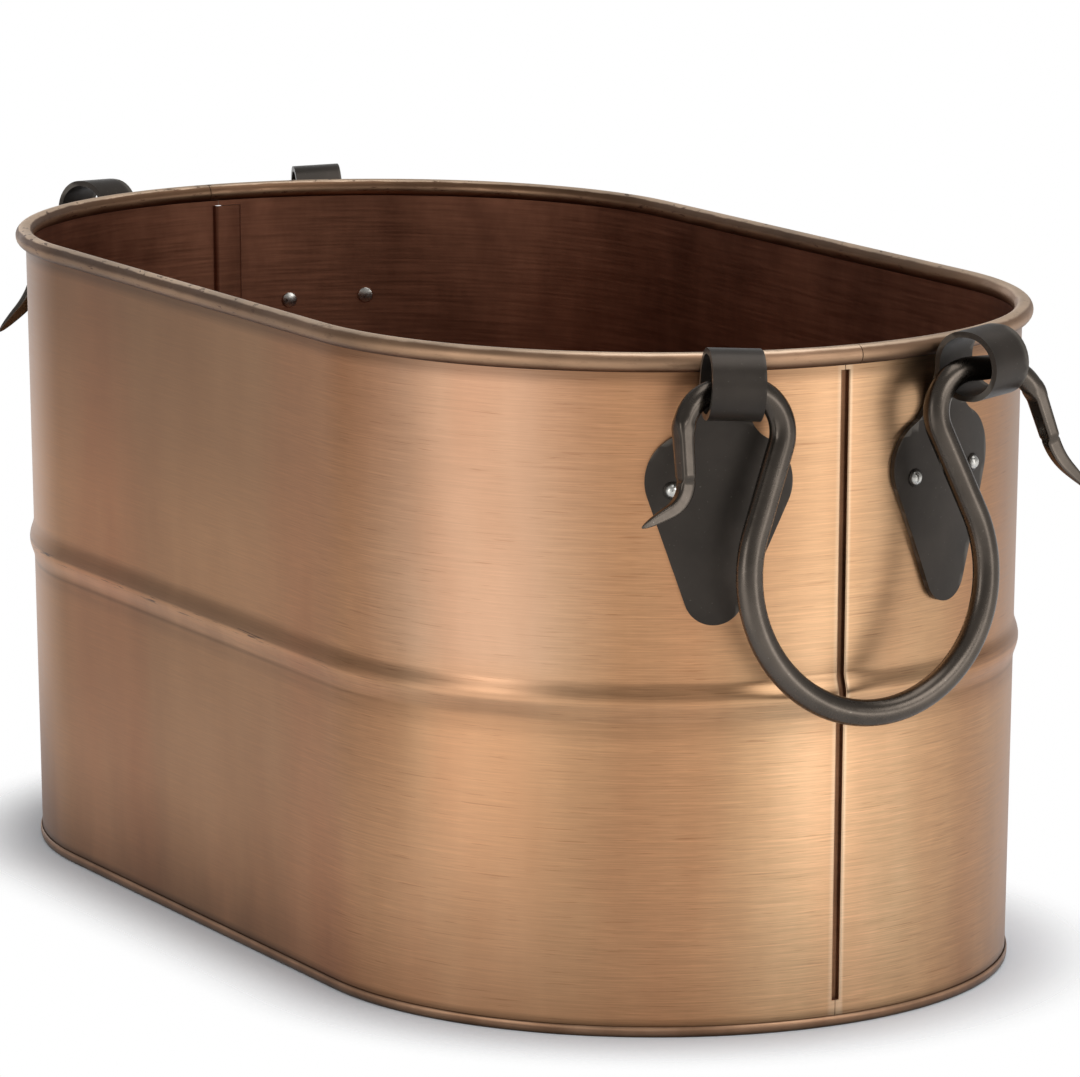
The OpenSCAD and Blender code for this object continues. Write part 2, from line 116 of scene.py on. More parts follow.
def along_side(bm, edges, way):
    """Draws a row of edges along a straight side, towards the near end (1) or the far one (-1)."""
    for _ in range(side_steps):
        step = Matrix.Translation((way * 2 * end_x / side_steps, 0, 0))
        edges = draw_out(bm, edges, step)
    return edges


def sweep_half(bm, edges, first, last):
    """Sweeps a row of edges from the near end round the front and along to the far end."""
    edges = spin_on(bm, edges, end_x, -math.pi / 2 - first)
    edges = along_side(bm, edges, -1)
    return spin_on(bm, edges, -end_x, -math.pi / 2 + last)


def row_of(bm, points):
    """A row of edges through points given as (distance from the end's centre, height)."""
    verts = [bm.verts.new((end_x + r, 0, z)) for r, z in points]
    return [bm.edges.new(pair) for pair in zip(verts, verts[1:])]


def edges_between(edges, low, high):
    """The edges of a row that lie between two heights."""
    heights = {e: [v.co.z for v in e.verts] for e in edges}
    return [e for e in edges if low - 0.01 < min(heights[e]) and max(heights[e]) < high + 0.01]


def place_mesh(bm, name, turned=0.0):
    """Turns a mesh about the bucket's upright middle line, and makes it an object in metres."""
    turn = Matrix.Rotation(math.radians(turned), 3, "Z")
    bmesh.ops.rotate(bm, cent=(0, 0, 0), matrix=turn, verts=bm.verts)
    bmesh.ops.scale(bm, vec=(0.001, 0.001, 0.001), verts=bm.verts)
    mesh = bpy.data.meshes.new(name)
    bm.to_mesh(mesh)
    bm.free()
    mesh.shade_smooth()
    piece = bpy.data.objects.new(name, mesh)
    bpy.context.scene.collection.objects.link(piece)
    return piece


def face_out(bm, sample, outward):
    """Turns the connected sheet that a face belongs to, so that the face looks outward."""
    if sample.normal.dot(Vector(outward)) > 0:
        return
    shell, seen = [sample], {sample}
    for face in shell:
        near = [g for e in face.edges for g in e.link_faces if g not in seen]
        seen.update(near)
        shell.extend(near)
    bmesh.ops.reverse_faces(bm, faces=shell)


# A face's slot picks its outer plate. Its inner side takes the plate of the next slot.
outer_slot, seam_slot, rim_slot = 0, 2, 4


def plate_slot(face):
    """The slot for a face of the sheet: on the rim, down in the seam's groove, or elsewhere."""
    middle = face.calc_center_median()
    deep = wall_r(middle.z) - math.hypot(abs(middle.x) - end_x, middle.y)
    if middle.z > rim_z:
        return rim_slot
    at_seam = abs(middle.y) < seam_half and abs(middle.x) > 2 * end_x
    return seam_slot if at_seam and deep > groove_depth else outer_slot


def half_sheet():
    """One half of the wall: the sheet, the folds at its two seam edges and the roll at its top."""
    bm = bmesh.new()
    below = (wall_foot, 5, seam_foot, 30, 60, 95, 120)
    above = (155, 190, 225, 250, seam_top, wall_top)
    swage = [swage_z + swage_h * (i / swage_rows - 0.5) for i in range(swage_rows + 1)]

    # The hem turns in by two quarter bends and runs back behind the face. The other edge
    # steps in behind the hem, runs on, and hooks back round the hem's own edge.
    hem = bend((-1.65, -hem_r), hem_r, 90, 0) + bend((-1.65, -1.85), hem_r, 0, -90)
    step = bend((3.2, -hem_r), hem_r, 90, 180) + bend((1.5, -2.0), hem_r, 0, -90)
    hook = step + bend((-8.85, -2.3), hook_r, 270, 90) + [(-1.9, -1.75)]
    first, last = hem[0][0] / end_r, step[0][0] / end_r
    start = row_of(bm, [(wall_r(z), z) for z in (*below, *swage, *above)])
    bmesh.ops.rotate(bm, cent=(end_x, 0, 0), matrix=Matrix.Rotation(first, 3, "Z"), verts=bm.verts)
    end = sweep_half(bm, start, first, last)
    far = math.pi + last
    fold(bm, edges_between(start, seam_foot, seam_top), end_x, first, hem + [(-8.95, -2.7)])
    fold(bm, edges_between(end, seam_foot, seam_top), -end_x, far, hook)

    # Above and below the folds the edges of the two sheets only meet.
    for low, high in ((0, seam_foot), (seam_top, wall_top)):
        fold(bm, edges_between(start, low, high), end_x, first, [hem[0], (0.3, 0)])
        fold(bm, edges_between(end, low, high), -end_x, far, [step[0], (0.6, 0)])

    # The roll has its own joint, a little to one side of the seam.
    turns = [math.radians(roll_start + roll_turn * i / roll_steps) for i in range(roll_steps + 1)]
    roll_x = end_r + roll_out
    round_wire = [(roll_x + roll_r * math.cos(a), roll_z + roll_r * math.sin(a)) for a in turns]
    edge = row_of(bm, round_wire)
    joint = rim_joint / end_r
    verts = list(dict.fromkeys(v for e in edge for v in e.verts))
    bmesh.ops.rotate(bm, cent=(end_x, 0, 0), matrix=Matrix.Rotation(joint, 3, "Z"), verts=verts)
    sweep_half(bm, edge, joint, joint + rim_gap / end_r)
    bmesh.ops.remove_doubles(bm, verts=bm.verts, dist=0.001)
    bmesh.ops.recalc_face_normals(bm, faces=bm.faces)

    # A face low on the front and one on top of the roll show which way is out.
    front = [f for f in bm.faces if f.calc_center_median().y < -150]
    face_out(bm, next(f for f in front if 30 < f.calc_center_median().z < 90), (0, -1, 0))
    face_out(bm, next(f for f in front if f.calc_center_median().z > roll_z + 3.9), (0, 0, 1))
    for face in bm.faces:
        face.material_index = plate_slot(face)
    return bm


def socket(tree, value, target):
    """Joins a socket to an input, or sets the input's own value."""
    if isinstance(value, bpy.types.NodeSocket):
        tree.links.new(value, target)
    else:
        target.default_value = value


def add_node(tree, kind, settings=None, **inputs):
    """Adds a node. An input is named by its own name, or i0, i1 and so on by its place."""
    made = tree.nodes.new(kind)
    for key, value in (settings or {}).items():
        setattr(made, key, value)
    for key, value in inputs.items():
        name = key.replace("_", " ")
        by_place = name[0] == "i" and name[1:].isdigit()
        socket(tree, value, made.inputs[int(name[1:]) if by_place else name])
    return made


def object_place(tree):
    """X, Y and Z of the place on the piece, in metres."""
    at = add_node(tree, "ShaderNodeTexCoord").outputs["Object"]
    return add_node(tree, "ShaderNodeSeparateXYZ", Vector=at).outputs


def grain(tree, scale, detail=3.0, roughness=0.55, distortion=0.0, offset=(0, 0, 0)):
    """Noise stretched by a different scale along each axis of the piece."""
    at = add_node(tree, "ShaderNodeTexCoord").outputs["Object"]
    put = add_node(tree, "ShaderNodeMapping", Vector=at, Scale=scale, Location=offset)
    made = add_node(
        tree, "ShaderNodeTexNoise", Vector=put.outputs["Vector"], Scale=1.0, Detail=detail,
        Roughness=roughness, Distortion=distortion,
    )
    return made.outputs["Fac"]


def ramp(tree, value, stops):
    """A colour ramp through (position, colour) stops; a plain number stands for a grey."""
    made = add_node(tree, "ShaderNodeValToRGB", Fac=value)
    band = made.color_ramp
    while len(band.elements) < len(stops):
        band.elements.new(0.5)
    for element, (position, colour) in zip(band.elements, stops):
        element.position = position
        element.color = (*colour, 1) if isinstance(colour, tuple) else (colour, colour, colour, 1)
    return made.outputs["Color"]


def mixed(tree, blend, factor, a, b):
    """Two colours mixed; a plain colour is given as red, green and blue."""
    made = add_node(tree, "ShaderNodeMix", {"data_type": "RGBA", "blend_type": blend})
    socket(tree, factor, made.inputs[0])
    for value, place in ((a, 6), (b, 7)):
        socket(tree, (*value, 1) if isinstance(value, tuple) else value, made.inputs[place])
    return made.outputs[2]


def covered(tree, share, colour, by):
    """A colour covered by another where the share is high."""
    return mixed(tree, "MIX", share, colour, by)


def tinted(tree, share, colour, tint):
    """A colour multiplied by a tint where the share is high."""
    return mixed(tree, "MULTIPLY", share, colour, tint)


def maths(tree, operation, a, b=0.0):
    """What an operation makes of one or two values."""
    return add_node(tree, "ShaderNodeMath", {"operation": operation}, i0=a, i1=b).outputs[0]


def times(tree, a, b):
    """The product of two values."""
    return maths(tree, "MULTIPLY", a, b)


def plus(tree, a, b):
    """The sum of two values."""
    return maths(tree, "ADD", a, b)


def swing(tree, noise, reach):
    """A noise as a swing to both sides of nothing."""
    return times(tree, maths(tree, "SUBTRACT", noise, 0.5), reach)


def bumped(tree, height, strength, distance, **under):
    """The surface roughened by a height, on top of any finer roughness."""
    return add_node(
        tree, "ShaderNodeBump", Strength=strength, Distance=distance, Height=height, **under
    ).outputs[0]


def new_finish(name):
    """An empty material with its node tree, ready for a shader."""
    made = bpy.data.materials.new(name)
    made.use_nodes = True
    made.node_tree.nodes.clear()
    return made, made.node_tree


def surface(tree, **inputs):
    """Ends a finish in its shader."""
    shader = add_node(tree, "ShaderNodeBsdfPrincipled", **inputs)
    add_node(tree, "ShaderNodeOutputMaterial", Surface=shader.outputs[0])


def brushed_copper(name, dark, middle, light, rough):
    """Antique copper plate: broad zones of brown and red, brushed round the wall, lacquered."""
    made, tree = new_finish(name)
    x, y, z = object_place(tree)
    along, back = plus(tree, x, 0.5), plus(tree, y, 0.5)
    from_middle = maths(tree, "ABSOLUTE", x)
    past_seam = times(tree, y, maths(tree, "SIGN", x))

    # The plate's own brown, in zones and clouds, with redder patches.
    clouds = grain(tree, (26, 26, 9), 4, 0.55, offset=(3, 1, 7))
    zones = grain(tree, (7, 7, 1.6), 3, 0.5)
    tone = plus(tree, times(tree, zones, 0.65), times(tree, clouds, 0.35))
    colour = ramp(tree, tone, [(0.32, dark), (0.5, middle), (0.68, light)])
    patches = grain(tree, (9, 9, 2.2), 3, 0.5, offset=(2, 8, 5))
    red = ramp(tree, patches, [(0.45, 0.0), (0.68, 0.8)])
    colour = covered(tree, red, colour, tinted(tree, 1.0, colour, (1.0, 0.84, 0.8)))

    # Brushed lines round the wall, softer on the long side and where it turns into the end,
    # and dark scratches, of which the long side has fewer.
    fine_lines = grain(tree, (70, 70, 3600), 3, 0.65)
    long_lines = grain(tree, (26, 26, 1500), 3, 0.55, offset=(5, 2, 1))
    lines = plus(tree, times(tree, fine_lines, 0.5), times(tree, long_lines, 0.5))
    streaks = ramp(tree, lines, [(0.3, 0.8), (0.5, 0.98), (0.7, 1.22)])
    side = ramp(tree, along, [(0.55, 1.0), (0.7, 0.0)])
    corner = ramp(tree, times(tree, from_middle, 3.0), [
        (0.44, 0.0), (0.55, 1.0), (0.7, 1.0), (0.77, 0.0)
    ])
    calm = maths(tree, "MAXIMUM", side, times(tree, corner, 0.9))
    colour = tinted(tree, maths(tree, "SUBTRACT", 1.0, times(tree, calm, 0.5)), colour, streaks)
    scratches = grain(tree, (44, 44, 1900), 2, 0.5, 0.3, offset=(9, 4, 3))
    scratches = ramp(tree, scratches, [(0.65, 0.0), (0.7, 0.5)])
    marks = times(tree, scratches, maths(tree, "SUBTRACT", 1.0, times(tree, side, 0.8)))
    colour = covered(tree, marks, colour, tinted(tree, 1.0, colour, (0.62, 0.52, 0.46)))

    # The edges at the seam are rubbed bright, partly worn and partly a painted highlight on the
    # hem's rounded edge, and the plate beside it is paler with a painted highlight, most of all
    # below the swage.
    at_end = ramp(tree, from_middle, [(0.255, 0.0), (0.262, 1.0)])
    rubbed = ramp(tree, plus(tree, times(tree, past_seam, 50.0), 0.5), [
        (0.33, 0.0), (0.39, 0.5), (0.46, 0.6), (0.5, 0.6), (0.62, 0.9), (0.67, 0.8), (0.72, 0.0)
    ])
    rubbed = times(tree, rubbed, at_end)
    colour = covered(tree, times(tree, rubbed, 0.5), colour, (0.86, 0.58, 0.37))
    # Painted highlight: the plate beside the seam is made paler and greyer.
    seam_highlight = ramp(tree, plus(tree, times(tree, past_seam, 5.0), 0.5), [
        (0.2, 0.0), (0.43, 1.0), (0.66, 0.95), (0.86, 0.0)
    ])
    seam_highlight = times(tree, seam_highlight, at_end)
    colour = tinted(tree, seam_highlight, colour, (1.05, 1.2, 1.3))
    # Painted highlight: the plate beside the seam is lightened further below the swage.
    low = times(tree, seam_highlight, ramp(tree, z, [(0.11, 1.0), (0.14, 0.0)]))
    colour = tinted(tree, low, colour, (1.18, 1.18, 1.18))

    # A painted highlight makes the corner paler above the swage, the long side is darker and
    # redder, and its far upper part is smoked.
    # Painted highlight on the corner above the swage.
    corner = times(tree, corner, ramp(tree, z, [(0.13, 0.15), (0.155, 1.0)]))
    colour = tinted(tree, corner, colour, (0.98, 1.12, 1.36))
    colour = tinted(tree, side, colour, (0.96, 0.91, 0.88))
    far_part = ramp(tree, along, [(0.35, 1.0), (0.58, 0.0)])
    smoked = times(tree, far_part, ramp(tree, z, [(0.222, 0.0), (0.255, 1.0)]))
    colour = tinted(tree, smoked, colour, (0.8, 0.78, 0.74))

    # Painted shade by height, on the long side and round the back of the end, darker towards the
    # foot and the rim; a painted dark line at the foot, painted shade on a band where the end turns
    # away, and painted shade under the swage and the rim.
    painted_shading_by_height = ramp(tree, plus(tree, z, swing(tree, clouds, 0.03)), [
        (0.004, 0.56), (0.028, 0.78), (0.055, 0.9), (0.126, 0.87), (0.137, 1.0), (0.175, 1.0),
        (0.215, 0.8), (0.262, 0.72),
    ])
    painted_shade_zone = maths(tree, "MAXIMUM", side, ramp(tree, back, [(0.54, 0.0), (0.62, 0.8)]))
    colour = tinted(tree, plus(tree, times(tree, painted_shade_zone, 0.8), 0.2), colour, painted_shading_by_height)
    # Painted shade: a dark line on the wall just above the bead, where it goes down into the fold.
    colour = tinted(tree, 1.0, colour, ramp(tree, z, [(0.0052, 0.3), (0.0066, 1.0)]))
    # Painted shade on a band where the end turns away, from the swage up.
    turned = ramp(tree, back, [(0.555, 0.0), (0.585, 1.0), (0.63, 1.0), (0.65, 0.0)])
    turned = times(tree, turned, ramp(tree, z, [(0.115, 0.0), (0.13, 1.0)]))
    colour = tinted(tree, turned, colour, (0.88, 0.8, 0.74))
    # Painted shade under the swage and under the rim.
    colour = tinted(tree, 1.0, colour, ramp(tree, z, [
        (0.121, 1.0), (0.1255, 0.84), (0.1285, 0.84), (0.131, 1.0), (0.2655, 1.0), (0.2695, 0.6)
    ]))

    # The swage has a painted reflection, lighter below its crest and darker above it, partly real
    # patina in the crease above, with dark nicks on the crest.
    crest = times(tree, maths(tree, "SUBTRACT", z, swage_z / 1000), 25.0)
    crest = plus(tree, plus(tree, crest, 0.5), swing(tree, lines, 0.04))
    # Painted highlight below the crest and painted shade above it.
    swage = ramp(tree, crest, [
        (0.24, 1.0), (0.27, 0.7), (0.31, 1.0), (0.4, 1.14), (0.49, 1.1), (0.515, 0.6),
        (0.57, 0.7), (0.7, 0.82), (0.76, 1.0),
    ])
    banded = maths(tree, "MAXIMUM", side, ramp(tree, back, [(0.5, 0.0), (0.51, 0.6)]))
    colour = tinted(tree, plus(tree, times(tree, banded, 0.75), 0.25), colour, swage)
    nicks = grain(tree, (38, 38, 1100), 3, 0.6, offset=(8, 2, 6))
    nicks = ramp(tree, nicks, [(0.6, 0.0), (0.64, 0.85)])
    on_crest = ramp(tree, crest, [(0.43, 0.0), (0.46, 1.0), (0.52, 1.0), (0.55, 0.0)])
    nicks = times(tree, times(tree, nicks, on_crest), side)
    colour = covered(tree, nicks, colour, (0.06, 0.03, 0.018))

    waves = grain(tree, (7, 7, 5), 1, 0.4, offset=(1, 6, 2))
    surface(
        tree, Base_Color=colour, Metallic=1.0,
        Roughness=plus(tree, times(tree, lines, 0.2), rough - 0.1),
        Normal=bumped(tree, waves, 0.5, 0.0012, Normal=bumped(tree, lines, 0.4, 0.00003)),
        Anisotropic=0.35, Coat_Weight=0.08, Coat_Roughness=0.3,
    )
    return made


def rolled_copper(name):
    """The plate on the rolled rim: scuffed tan where it is rubbed, painted shade below, a painted
    highlight on top.
    """
    made, tree = new_finish(name)
    x, _, z = object_place(tree)
    scuffs = grain(tree, (60, 60, 260), 4, 0.6)
    level = times(tree, maths(tree, "SUBTRACT", z, rim_z / 1000), 100.0)
    level = plus(tree, level, swing(tree, scuffs, 0.12))
    # Painted shade darkens the underside of the roll, and a painted highlight lightens a line along
    # its top.
    colour = ramp(tree, level, [
        (0.02, (0.06, 0.03, 0.017)), (0.14, (0.22, 0.12, 0.07)), (0.28, (0.43, 0.265, 0.16)),
        (0.42, (0.46, 0.285, 0.175)), (0.55, (0.42, 0.255, 0.155)), (0.68, (0.42, 0.255, 0.16)),
        (0.74, (0.88, 0.66, 0.48)),
    ])
    side = ramp(tree, plus(tree, x, 0.5), [(0.52, 1.0), (0.68, 0.0)])
    worn = ramp(tree, level, [(0.4, 0.0), (0.52, 0.9), (0.69, 0.9), (0.73, 0.0)])
    colour = covered(tree, times(tree, worn, side), colour, (0.17, 0.09, 0.05))
    spots = grain(tree, (150, 150, 700), 3, 0.6, offset=(6, 1, 4))
    spots = ramp(tree, spots, [(0.61, 0.0), (0.67, 0.85)])
    spots = times(tree, spots, plus(tree, times(tree, side, 0.8), 0.2))
    colour = covered(tree, spots, colour, (0.16, 0.08, 0.05))
    shade = grain(tree, (14, 14, 20), 3, 0.6, offset=(2, 2, 9))
    colour = tinted(tree, 1.0, colour, ramp(tree, shade, [(0.35, 0.78), (0.6, 1.08)]))
    surface(
        tree, Base_Color=colour, Metallic=1.0, Coat_Weight=0.04, Coat_Roughness=0.3,
        Roughness=ramp(tree, scuffs, [(0.3, 0.38), (0.7, 0.52)]),
        Normal=bumped(tree, scuffs, 0.5, 0.00015),
    )
    return made


def dull_copper(name, deep, middle, rough, painted_shading_by_height=None):
    """Copper that is never rubbed, inside the bucket and on its base, and in the seam's groove,
    where its darker colour is painted shade. A ramp by height paints light and shade on it.
    """
    made, tree = new_finish(name)
    lines = grain(tree, (30, 30, 900), 3, 0.6, offset=(3, 3, 1))
    colour = ramp(tree, grain(tree, (30, 30, 16), 4, 0.6), [(0.3, deep), (0.7, middle)])
    colour = tinted(tree, 1.0, colour, ramp(tree, lines, [(0.35, 0.86), (0.65, 1.08)]))
    # Painted light and shade by height.
    if painted_shading_by_height:
        centimetres = times(tree, object_place(tree)[2], 100.0)
        colour = tinted(tree, 1.0, colour, ramp(tree, centimetres, painted_shading_by_height))
    surface(
        tree, Base_Color=colour, Metallic=0.9, Normal=bumped(tree, lines, 0.2, 0.00005),
        Roughness=ramp(tree, lines, [(0.3, rough - 0.06), (0.7, rough + 0.08)]),
    )
    return made


copper = brushed_copper(
    "copper_brushed", (0.5, 0.258, 0.128), (0.6, 0.328, 0.166), (0.7, 0.4, 0.212), 0.33
)
copper_rim = rolled_copper("copper_rim")
# The groove's darker copper is painted shade in the recess.
copper_seam = dull_copper("copper_seam", (0.14, 0.07, 0.036), (0.34, 0.17, 0.09), 0.5)
copper_inside = dull_copper("copper_inside", (0.2, 0.08, 0.046), (0.36, 0.155, 0.09), 0.42)


def clad(piece, body, slot, replaced, *materials):
    """Dresses a piece, and makes it ride on its body in place of the nodes it stands for."""
    for material in materials:
        piece.data.materials.append(material)
    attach(piece, body)
    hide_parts(*replaced)


def thicken(piece, thickness, edge, segments=2, next_slot=1):
    """Gives a drawn sheet its thickness behind its face, and softens its edges."""
    wall = piece.modifiers.new("thickness", "SOLIDIFY")
    wall.thickness = thickness / 1000
    wall.offset = -1
    wall.use_even_offset = True
    wall.material_offset = next_slot
    soft = piece.modifiers.new("edges", "BEVEL")
    soft.width = edge / 1000
    soft.segments = segments
    soft.limit_method = "ANGLE"
    soft.angle_limit = math.radians(55)
    soft.harden_normals = True


plates = (copper, copper_inside, copper_seam, copper_inside, copper_rim, copper_inside)
for name, turned in (("front", 0), ("back", 180)):
    sheet = place_mesh(half_sheet(), f"wall_sheet_{name}", turned)
    thicken(sheet, sheet_t, sheet_edge)
    clad(sheet, "bucket", "copper", [f"body_sheet_{name}"], *plates)


# The rim wire is plain drawn steel. It lies hidden in the roll, apart from the narrow slot
# that the roll leaves under its edge.
wire, tree = new_finish("wire_steel")
drawn = grain(tree, (60, 60, 60), 3, 0.6)
surface(
    tree, Metallic=1.0, Normal=bumped(tree, drawn, 0.3, 0.0001),
    Base_Color=ramp(tree, drawn, [(0.3, (0.28, 0.26, 0.24)), (0.7, (0.5, 0.48, 0.45))]),
    Roughness=ramp(tree, drawn, [(0.3, 0.3), (0.7, 0.5)]),
)
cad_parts["rim_wire"].data.materials.clear()
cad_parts["rim_wire"].data.materials.append(wire)


# The base pan is one pressing in the same sheet: a floor held just clear of the hearth by a
# folded rim. The foot of the wall stands in the fold, whose outer leaf shows as a bead.
leaf_top = 4.5
pan_floor = 6.0


def pan():
    """The folded rim swept once round the oval, with the floor filled in."""
    bm = bmesh.new()
    outer_leaf = [
        (151.0, leaf_top), (151.32, 4.1), (151.45, 3.3), (151.45, 1.9), (151.3, 0.95),
        (150.95, 0.3), (150.4, 0),
    ]
    inner_leaf = [
        (149.6, 0), (149.0, 0.25), (148.75, 0.8), (148.75, 5.0), (148.6, 5.6), (148.1, 5.95),
        (147.4, pan_floor),
    ]
    quarter = math.pi / 2
    row = row_of(bm, outer_leaf + inner_leaf)
    turn = Matrix.Rotation(quarter, 3, "Z")
    bmesh.ops.rotate(bm, cent=(end_x, 0, 0), matrix=turn, verts=bm.verts)
    row = sweep_half(bm, row, quarter, 0)
    row = spin_on(bm, row, -end_x, -quarter)
    along_side(bm, row, 1)
    bmesh.ops.remove_doubles(bm, verts=bm.verts, dist=0.01)
    at_floor = [e for e in bm.edges if all(v.co.z > pan_floor - 0.1 for v in e.verts)]
    bmesh.ops.edgeloop_fill(bm, edges=[e for e in at_floor if e.is_boundary])
    bmesh.ops.recalc_face_normals(bm, faces=bm.faces)
    face_out(bm, max(bm.faces, key=lambda f: f.calc_area()), (0, 0, -1))
    return bm


# The bead's ramp by height is painted light: a painted highlight along its upper part, and painted
# shade below it and at its top, where the wall goes in.
bead = dull_copper(
    "copper_bead", (0.3, 0.165, 0.095), (0.5, 0.3, 0.185), 0.4,
    painted_shading_by_height=[(0.05, 0.25), (0.16, 0.55), (0.27, 0.8), (0.33, 1.25), (0.4, 1.2), (0.46, 0.5)],
)
base = place_mesh(pan(), "base_pan_pressing")
thicken(base, sheet_t, sheet_edge)
clad(base, "bucket", "copper_base", ["base_pan"], bead, copper_inside)


# Each ear is one iron strap: a leaf that is riveted to the wall, and a neck that leans out
# past the rim and is rolled over into the eye that the handle turns in. It is cut flat,
# bent to the wall, rolled, and painted a satin bronze black. Each leans a little inwards.
ear_t = 2.4
ear_edge = 0.6
ear_gap = 0.12
ear_angle = 20.5
ear_lean = math.radians(2.5)
leaf_z, leaf_foot, leaf_w = 228.0, 170.0, 59.0
tip_r, shoulder_r, hollow_r = 12.0, 20.0, 14.0
outline_steps = 14
lean_z = leaf_foot + tip_r
neck_w = 21.5
neck_foot, neck_rows = 249.1, 12
hug_foot, hug_run = 4, 12
eye_x, eye_z = 175.2, 270.1
eye_half, eye_outer = 1.2, 14.2
ears = (("near_front", -1, 0), ("near_back", 1, 0), ("far_front", 1, 180), ("far_back", -1, 180))


def leaned(across, up, side):
    """Where a place on an ear comes to when the ear leans about the round of its tip."""
    c, s = math.cos(ear_lean), side * math.sin(ear_lean)
    return across * c - (up - lean_z) * s, lean_z + across * s + (up - lean_z) * c


def strap_line():
    """The strap's back face above the leaf, seen from the side: out past the rim, round the eye."""
    start = wall_r(neck_foot) + ear_gap
    out = eye_x - eye_half - eye_outer
    line = []
    for i in range(neck_rows + 1):
        r = start + (out - start) * (1 - math.cos(math.pi * i / neck_rows)) / 2
        line.append((r, neck_foot + (eye_z - neck_foot) * i / neck_rows))
    up, over, back = range(171, 89, -9), range(90, -91, -9), range(-90, -136, -9)
    for middle, turns in ((-eye_half, up), (eye_half, over), (-eye_half, back)):
        for turn in turns:
            a = math.radians(turn)
            line.append((eye_x + middle + eye_outer * math.cos(a), eye_z + eye_outer * math.sin(a)))
    return line


def arc_on(bm, point, centre, turn):
    """Spins the outline's last point on round a centre."""
    spun = bmesh.ops.spin(
        bm, geom=[point], cent=(*centre, 0), axis=(0, 0, 1), angle=turn, steps=outline_steps
    )
    return next(g for g in spun["geom_last"] if isinstance(g, bmesh.types.BMVert))


def line_on(bm, point, x, y):
    """Draws the outline on in a straight line."""
    moved = bmesh.ops.extrude_vert_indiv(bm, verts=[point])["verts"][0]
    moved.co = (x, y, 0)
    return moved


def cut_strap(length):
    """The strap cut flat: round tip, straight flanks, round shoulders, hollows, straight neck."""
    bm = bmesh.new()
    tip, shoulder = Vector((0, lean_z)), Vector((leaf_w / 2 - shoulder_r, leaf_z))
    gap = shoulder - tip
    flank = math.atan2(gap.y, gap.x) - math.acos((tip_r - shoulder_r) / gap.length)
    flank_top = (shoulder.x + shoulder_r * math.cos(flank), leaf_z + shoulder_r * math.sin(flank))
    hollow_x = neck_w / 2 + hollow_r
    rise = math.sqrt((shoulder_r + hollow_r) ** 2 - (hollow_x - shoulder.x) ** 2)
    hollow = Vector((hollow_x, leaf_z + rise))
    meet = math.atan2(rise, hollow_x - shoulder.x)
    point = bm.verts.new((0, leaf_foot, 0))
    point = arc_on(bm, point, tip, flank + math.pi / 2)
    point = line_on(bm, point, *flank_top)
    point = arc_on(bm, point, shoulder, meet - flank)
    point = arc_on(bm, point, hollow, -meet)
    point = line_on(bm, point, neck_w / 2, neck_foot + length)
    line_on(bm, point, 0, neck_foot + length)
    bmesh.ops.remove_doubles(bm, verts=bm.verts, dist=0.001)
    bmesh.ops.mirror(bm, geom=bm.verts[:] + bm.edges[:], axis="X", merge_dist=0.001)
    bmesh.ops.remove_doubles(bm, verts=bm.verts, dist=0.01)
    bmesh.ops.edgeloop_fill(bm, edges=bm.edges[:])
    return bm


def ear_strap(side):
    """An ear: the flat strap is ruled into a grid, and each point goes to its bent place."""
    line = strap_line()
    reach = [0.0]
    for a, b in zip(line, line[1:]):
        reach.append(reach[-1] + math.dist(a, b))
    bm = cut_strap(reach[-1])
    rows = [*range(175, 249, 6), *(neck_foot + r for r in reach[:-1])]
    rules = [((0, v, 0), (0, 1, 0)) for v in rows]
    rules += [((x, 0, 0), (1, 0, 0)) for x in range(-28, 29, 4)]
    for at, way in rules:
        geom = bm.verts[:] + bm.edges[:] + bm.faces[:]
        bmesh.ops.bisect_plane(bm, geom=geom, dist=0.0001, plane_co=at, plane_no=way)
    for v in bm.verts:
        across, z, beyond = v.co.x, v.co.y, v.co.y - neck_foot
        if beyond > 0:
            run = min(beyond, reach[-1] - 1e-6)
            i = next(k for k in range(1, len(reach)) if reach[k] >= run)
            share = (run - reach[i - 1]) / (reach[i] - reach[i - 1])
            r, z = (line[i - 1][k] + (line[i][k] - line[i - 1][k]) * share for k in (0, 1))
        across, z = leaned(across, z, side)
        if beyond <= 0:
            r = wall_r(z) + ear_gap
        hug = max(0.0, 1 - max(0.0, beyond + hug_foot) / hug_run)
        v.co = (r - hug * (r - math.sqrt(r * r - across * across)), across, z)
    bmesh.ops.recalc_face_normals(bm, faces=bm.faces)
    face_out(bm, min(bm.faces, key=lambda f: f.calc_center_median().z), (-1, 0, 0))
    turn = Matrix.Rotation(math.radians(side * ear_angle), 3, "Z")
    bmesh.ops.rotate(bm, cent=(0, 0, 0), matrix=turn, verts=bm.verts)
    bmesh.ops.translate(bm, vec=(end_x, 0, 0), verts=bm.verts)
    return bm


